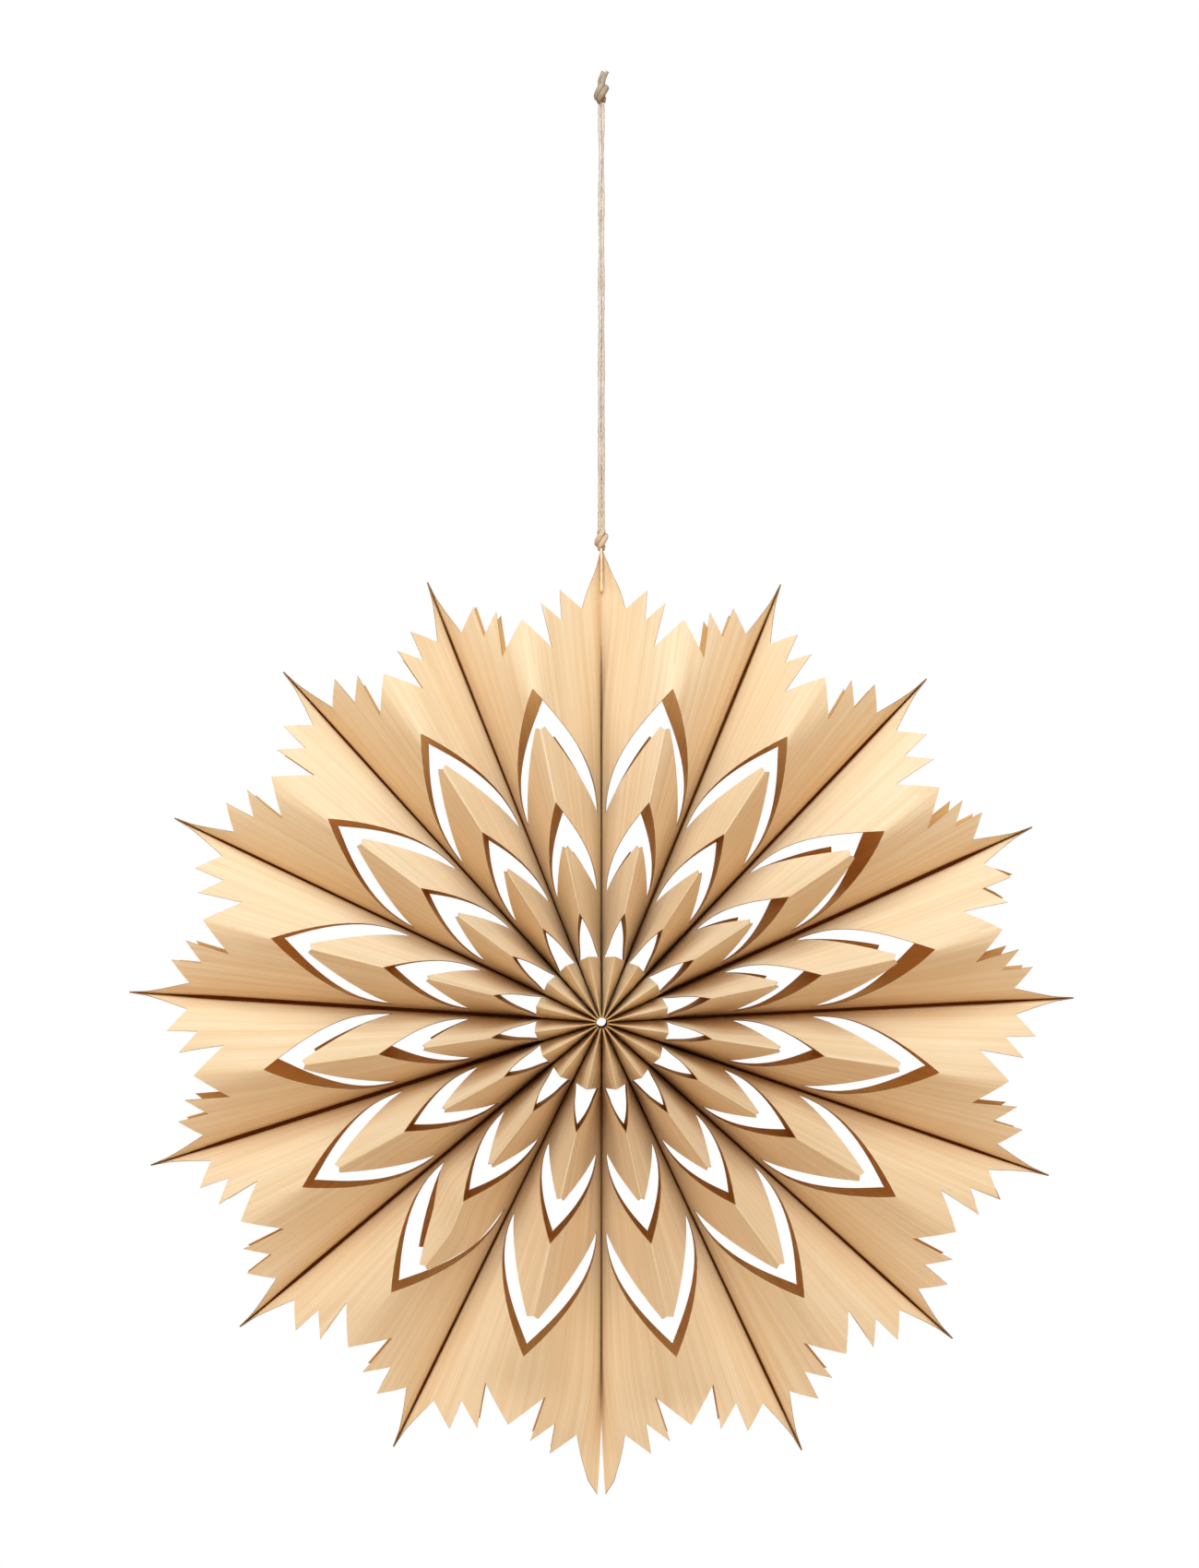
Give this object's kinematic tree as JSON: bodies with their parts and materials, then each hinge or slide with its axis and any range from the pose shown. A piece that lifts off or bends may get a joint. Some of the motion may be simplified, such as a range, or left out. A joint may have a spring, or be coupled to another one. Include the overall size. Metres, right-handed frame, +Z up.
{
  "type": "folding star ornament",
  "caption": "Hanging star of die-cut wood veneer sleeves glued into a fan that opens to a full circle, with a knotted twine loop to hang it by.",
  "frame": {"origin": "hanging point under the top knot, between the two legs of twine", "axes": "+Z up along the hanging twine, +X to the star's right as seen from the front, -Y towards the front; the star's own axis is Y"},
  "size_m": [0.4012, 0.0898, 0.6056],
  "materials": {
    "veneer": "bare sliced veneer, satin",
    "glue": "dried wood glue",
    "magnet": "nickel-plated bar magnet",
    "twine": "natural jute twine"
  },
  "bodies": {
    "hanger": {"glue_line_top": "glue", "twine_loop": "twine", "lower_knot": "twine", "twine_leg_right": "twine", "twine_leg_left": "twine", "top_knot": "twine", "twine_end_right": "twine", "twine_end_left": "twine"},
    "sleeve_08": {"sleeve_08": "veneer", "closure_magnet_right": "magnet"},
    "sleeve_07": {"sleeve_07": "veneer", "glue_line_07": "glue"},
    "sleeve_06": {"sleeve_06": "veneer", "glue_line_06": "glue"},
    "sleeve_05": {"sleeve_05": "veneer", "glue_line_05": "glue"},
    "sleeve_04": {"sleeve_04": "veneer", "glue_line_04": "glue"},
    "sleeve_03": {"sleeve_03": "veneer", "glue_line_03": "glue"},
    "sleeve_02": {"sleeve_02": "veneer", "glue_line_02": "glue"},
    "sleeve_01": {"sleeve_01": "veneer", "glue_line_01": "glue"},
    "sleeve_09": {"sleeve_09": "veneer", "closure_magnet_left": "magnet"},
    "sleeve_10": {"sleeve_10": "veneer", "glue_line_09": "glue"},
    "sleeve_11": {"sleeve_11": "veneer", "glue_line_10": "glue"},
    "sleeve_12": {"sleeve_12": "veneer", "glue_line_11": "glue"},
    "sleeve_13": {"sleeve_13": "veneer", "glue_line_12": "glue"},
    "sleeve_14": {"sleeve_14": "veneer", "glue_line_13": "glue"},
    "sleeve_15": {"sleeve_15": "veneer", "glue_line_14": "glue"},
    "sleeve_16": {"sleeve_16": "veneer", "glue_line_15": "glue"}
  },
  "joints": [
    {"name": "right_wing_fold", "type": "hinge", "parent": "hanger", "child": "sleeve_08", "pos_m": [0, 0, -0.3909], "axis": [0, -1, 0], "range_deg": [0, 160.57], "deforming": ["sleeve_08"]},
    {"name": "sleeve_07_fold", "type": "hinge", "parent": "hanger", "child": "sleeve_07", "pos_m": [0, 0, -0.3909], "axis": [0, -1, 0], "range_deg": [0, 137.03], "deforming": ["sleeve_07"]},
    {"name": "sleeve_06_fold", "type": "hinge", "parent": "hanger", "child": "sleeve_06", "pos_m": [0, 0, -0.3909], "axis": [0, -1, 0], "range_deg": [0, 114.91], "deforming": ["sleeve_06"]},
    {"name": "sleeve_05_fold", "type": "hinge", "parent": "hanger", "child": "sleeve_05", "pos_m": [0, 0, -0.3909], "axis": [0, -1, 0], "range_deg": [0, 93.57], "deforming": ["sleeve_05"]},
    {"name": "sleeve_04_fold", "type": "hinge", "parent": "hanger", "child": "sleeve_04", "pos_m": [0, 0, -0.3909], "axis": [0, -1, 0], "range_deg": [0, 72.61], "deforming": ["sleeve_04"]},
    {"name": "sleeve_03_fold", "type": "hinge", "parent": "hanger", "child": "sleeve_03", "pos_m": [0, 0, -0.3909], "axis": [0, -1, 0], "range_deg": [0, 51.82], "deforming": ["sleeve_03"]},
    {"name": "sleeve_02_fold", "type": "hinge", "parent": "hanger", "child": "sleeve_02", "pos_m": [0, 0, -0.3909], "axis": [0, -1, 0], "range_deg": [0, 31.09], "deforming": ["sleeve_02"]},
    {"name": "sleeve_01_fold", "type": "hinge", "parent": "hanger", "child": "sleeve_01", "pos_m": [0, 0, -0.3909], "axis": [0, -1, 0], "range_deg": [0, 10.37], "deforming": ["sleeve_01"]},
    {"name": "left_wing_fold", "type": "hinge", "parent": "hanger", "child": "sleeve_09", "pos_m": [0, 0, -0.3909], "axis": [0, 1, 0], "range_deg": [0, 160.57], "deforming": ["sleeve_09"]},
    {"name": "sleeve_10_fold", "type": "hinge", "parent": "hanger", "child": "sleeve_10", "pos_m": [0, 0, -0.3909], "axis": [0, 1, 0], "range_deg": [0, 137.03], "deforming": ["sleeve_10"]},
    {"name": "sleeve_11_fold", "type": "hinge", "parent": "hanger", "child": "sleeve_11", "pos_m": [0, 0, -0.3909], "axis": [0, 1, 0], "range_deg": [0, 114.91], "deforming": ["sleeve_11"]},
    {"name": "sleeve_12_fold", "type": "hinge", "parent": "hanger", "child": "sleeve_12", "pos_m": [0, 0, -0.3909], "axis": [0, 1, 0], "range_deg": [0, 93.57], "deforming": ["sleeve_12"]},
    {"name": "sleeve_13_fold", "type": "hinge", "parent": "hanger", "child": "sleeve_13", "pos_m": [0, 0, -0.3909], "axis": [0, 1, 0], "range_deg": [0, 72.61], "deforming": ["sleeve_13"]},
    {"name": "sleeve_14_fold", "type": "hinge", "parent": "hanger", "child": "sleeve_14", "pos_m": [0, 0, -0.3909], "axis": [0, 1, 0], "range_deg": [0, 51.82], "deforming": ["sleeve_14"]},
    {"name": "sleeve_15_fold", "type": "hinge", "parent": "hanger", "child": "sleeve_15", "pos_m": [0, 0, -0.3909], "axis": [0, 1, 0], "range_deg": [0, 31.09], "deforming": ["sleeve_15"]},
    {"name": "sleeve_16_fold", "type": "hinge", "parent": "hanger", "child": "sleeve_16", "pos_m": [0, 0, -0.3909], "axis": [0, 1, 0], "range_deg": [0, 10.37], "deforming": ["sleeve_16"]}
  ],
  "couplings": [
    {"joint": "sleeve_07_fold", "follows": "right_wing_fold", "ratio": 0.85333},
    {"joint": "sleeve_06_fold", "follows": "right_wing_fold", "ratio": 0.71556},
    {"joint": "sleeve_05_fold", "follows": "right_wing_fold", "ratio": 0.58266},
    {"joint": "sleeve_04_fold", "follows": "right_wing_fold", "ratio": 0.45215},
    {"joint": "sleeve_03_fold", "follows": "right_wing_fold", "ratio": 0.32268},
    {"joint": "sleeve_02_fold", "follows": "right_wing_fold", "ratio": 0.19355},
    {"joint": "sleeve_01_fold", "follows": "right_wing_fold", "ratio": 0.064514},
    {"joint": "sleeve_10_fold", "follows": "left_wing_fold", "ratio": 0.85333},
    {"joint": "sleeve_11_fold", "follows": "left_wing_fold", "ratio": 0.71556},
    {"joint": "sleeve_12_fold", "follows": "left_wing_fold", "ratio": 0.58266},
    {"joint": "sleeve_13_fold", "follows": "left_wing_fold", "ratio": 0.45215},
    {"joint": "sleeve_14_fold", "follows": "left_wing_fold", "ratio": 0.32268},
    {"joint": "sleeve_15_fold", "follows": "left_wing_fold", "ratio": 0.19355},
    {"joint": "sleeve_16_fold", "follows": "left_wing_fold", "ratio": 0.064514}
  ]
}
